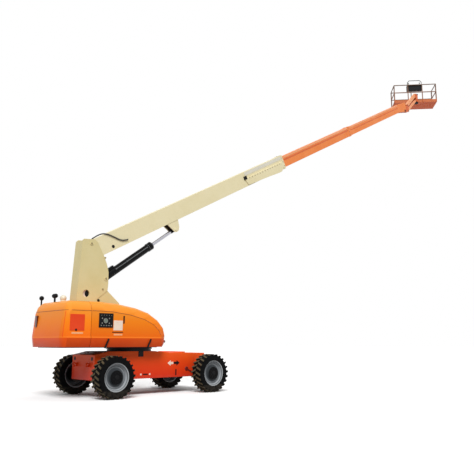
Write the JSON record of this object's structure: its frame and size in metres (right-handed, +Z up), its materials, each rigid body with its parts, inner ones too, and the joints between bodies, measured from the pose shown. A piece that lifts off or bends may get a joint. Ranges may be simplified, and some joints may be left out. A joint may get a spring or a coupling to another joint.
{
  "type": "telescopic boom lift",
  "caption": "Self-propelled telescopic boom lift with a slewing turntable, tall pivot tower, sliding boom sections, a levelling jib and a railed work basket.",
  "frame": {"origin": "ground level under the slew axis", "axes": "+X to the machine's front and the boom tip, +Y to its left, +Z up"},
  "size_m": [20.5789, 2.7654, 14.7909],
  "materials": {
    "chassis_paint": "satin",
    "black_paint": "satin",
    "cast_block": "matte",
    "hood_orange": "satin",
    "cream_paint": "satin",
    "boom_orange": "satin",
    "hose_rubber": "matte",
    "rod_chrome": "polished",
    "rail_paint": "satin",
    "floor_paint": "matte",
    "console_plastic": "matte",
    "tyre_rubber": "matte",
    "rim_paint": "satin",
    "lamp_plastic": "satin",
    "beacon_plastic": "satin"
  },
  "bodies": {
    "chassis": {"chassis_frame": "chassis_paint", "tie_down_lugs": "black_paint", "rear_axle": "black_paint", "front_axle": "black_paint", "slew_ring": "black_paint"},
    "knuckle_left": {"knuckle_left": "black_paint"},
    "knuckle_right": {"knuckle_right": "black_paint"},
    "tie_rod": {"tie_rod": "black_paint"},
    "wheel_rear_left": {"tyre_rear_left": "tyre_rubber", "rim_rear_left": "rim_paint"},
    "wheel_rear_right": {"tyre_rear_right": "tyre_rubber", "rim_rear_right": "rim_paint"},
    "wheel_front_left": {"tyre_front_left": "tyre_rubber", "rim_front_left": "rim_paint"},
    "wheel_front_right": {"tyre_front_right": "tyre_rubber", "rim_front_right": "rim_paint"},
    "turntable": {"turntable_deck": "black_paint", "tower": "cream_paint", "counterweight": "cast_block", "tail_hood": "hood_orange", "engine_block": "cast_block", "hydraulic_tank": "cast_block", "rear_lamp": "lamp_plastic", "horn_set": "black_paint", "beacon": "beacon_plastic"},
    "hood_left": {"hood_left": "hood_orange", "straps_left": "black_paint"},
    "hood_right": {"hood_right": "hood_orange", "straps_right": "black_paint", "ground_panel": "console_plastic"},
    "base_boom": {"base_boom": "cream_paint", "boom_hose": "hose_rubber"},
    "lift_barrel": {"lift_barrel": "black_paint"},
    "lift_rod": {"lift_rod": "rod_chrome"},
    "mid_boom": {"mid_boom": "boom_orange"},
    "fly_boom": {"fly_boom": "boom_orange"},
    "jib_head": {"jib_head": "black_paint"},
    "jib_arm": {"jib_arm": "boom_orange"},
    "jib_link": {"jib_link": "boom_orange"},
    "platform_support": {"platform_support": "boom_orange"},
    "basket": {"basket_rotator": "black_paint", "basket_floor": "floor_paint", "rail_near": "rail_paint", "rail_far": "rail_paint", "rail_end": "rail_paint", "platform_console": "console_plastic"},
    "basket_gate": {"basket_gate": "rail_paint"}
  },
  "joints": [
    {"name": "wheel_rear_left_spin", "type": "hinge", "parent": "chassis", "child": "wheel_rear_left", "pos_m": [-1.08, 1.035, 0.525], "axis": [0, 1, 0], "continuous": true},
    {"name": "wheel_rear_right_spin", "type": "hinge", "parent": "chassis", "child": "wheel_rear_right", "pos_m": [-1.08, -1.035, 0.525], "axis": [0, 1, 0], "continuous": true},
    {"name": "steer_left", "type": "hinge", "parent": "chassis", "child": "knuckle_left", "pos_m": [2.04, 0.8, 0.525], "axis": [0, 0, 1], "range_deg": [-25, 25]},
    {"name": "steer_right", "type": "hinge", "parent": "chassis", "child": "knuckle_right", "pos_m": [2.04, -0.8, 0.525], "axis": [0, 0, 1], "range_deg": [-25, 25]},
    {"name": "tie_rod_swing", "type": "hinge", "parent": "knuckle_left", "child": "tie_rod", "pos_m": [1.82, 0.815, 0.435], "axis": [0, 0, 1], "range_deg": [-25, 25]},
    {"name": "wheel_front_left_spin", "type": "hinge", "parent": "knuckle_left", "child": "wheel_front_left", "pos_m": [2.04, 1.035, 0.525], "axis": [0, 1, 0], "continuous": true},
    {"name": "wheel_front_right_spin", "type": "hinge", "parent": "knuckle_right", "child": "wheel_front_right", "pos_m": [2.04, -1.035, 0.525], "axis": [0, 1, 0], "continuous": true},
    {"name": "slew", "type": "hinge", "parent": "chassis", "child": "turntable", "pos_m": [0, 0, 1.195], "axis": [0, 0, 1], "continuous": true},
    {"name": "hood_left_open", "type": "hinge", "parent": "turntable", "child": "hood_left", "pos_m": [-0.58, 0.24, 2.364], "axis": [1, 0, 0], "range_deg": [0, 60]},
    {"name": "hood_right_open", "type": "hinge", "parent": "turntable", "child": "hood_right", "pos_m": [-0.58, -0.24, 2.364], "axis": [-1, 0, 0], "range_deg": [0, 60]},
    {"name": "boom_lift", "type": "hinge", "parent": "turntable", "child": "base_boom", "pos_m": [-1.385, 0, 3.955], "axis": [0, -1, 0], "range_deg": [-30.67, 43.33]},
    {"name": "lift_barrel_tilt", "type": "hinge", "parent": "turntable", "child": "lift_barrel", "pos_m": [-0.917, 0, 3.054], "axis": [0, -1, 0], "range_deg": [-28.32, 39.96]},
    {"name": "lift_rod_slide", "type": "slide", "parent": "lift_barrel", "child": "lift_rod", "axis": [0.8126, 0, 0.5828], "range_m": [-0.5373, 0.7583]},
    {"name": "mid_slide", "type": "slide", "parent": "base_boom", "child": "mid_boom", "axis": [0.8774, 0, 0.4798], "range_m": [-4.6, 2]},
    {"name": "fly_slide", "type": "slide", "parent": "mid_boom", "child": "fly_boom", "axis": [0.8774, 0, 0.4798], "range_m": [-4.6, 2]},
    {"name": "head_level", "type": "hinge", "parent": "fly_boom", "child": "jib_head", "pos_m": [15.24137, 0, 12.58021], "axis": [0, -1, 0], "range_deg": [-43.33, 30.67]},
    {"name": "jib_lift", "type": "hinge", "parent": "jib_head", "child": "jib_arm", "pos_m": [15.615, 0, 12.695], "axis": [0, -1, 0], "range_deg": [-91.4, 21.6]},
    {"name": "jib_link_swing", "type": "hinge", "parent": "jib_head", "child": "jib_link", "pos_m": [15.57, 0, 12.967], "axis": [0, -1, 0], "range_deg": [-91.4, 21.6]},
    {"name": "support_level", "type": "hinge", "parent": "jib_arm", "child": "platform_support", "pos_m": [16.49052, 0, 13.52294], "axis": [0, -1, 0], "range_deg": [-21.6, 91.4]},
    {"name": "platform_rotate", "type": "hinge", "parent": "platform_support", "child": "basket", "pos_m": [16.62, 0, 13.846], "axis": [0, 0, 1], "range_deg": [-131.9, 48.1]},
    {"name": "gate_swing", "type": "hinge", "parent": "basket", "child": "basket_gate", "pos_m": [16.6947, 1.477, 14.046], "axis": [0, 0, 1], "range_deg": [0, 85]}
  ],
  "couplings": [
    {"joint": "steer_right", "follows": "steer_left", "ratio": 1},
    {"joint": "tie_rod_swing", "follows": "steer_left", "ratio": -1},
    {"joint": "lift_barrel_tilt", "follows": "boom_lift", "ratio": 0.92},
    {"joint": "lift_rod_slide", "follows": "boom_lift", "m_per_rad": 1},
    {"joint": "head_level", "follows": "boom_lift", "ratio": -1},
    {"joint": "fly_slide", "follows": "mid_slide", "ratio": 1},
    {"joint": "jib_link_swing", "follows": "jib_lift", "ratio": 1},
    {"joint": "support_level", "follows": "jib_lift", "ratio": -1}
  ]
}
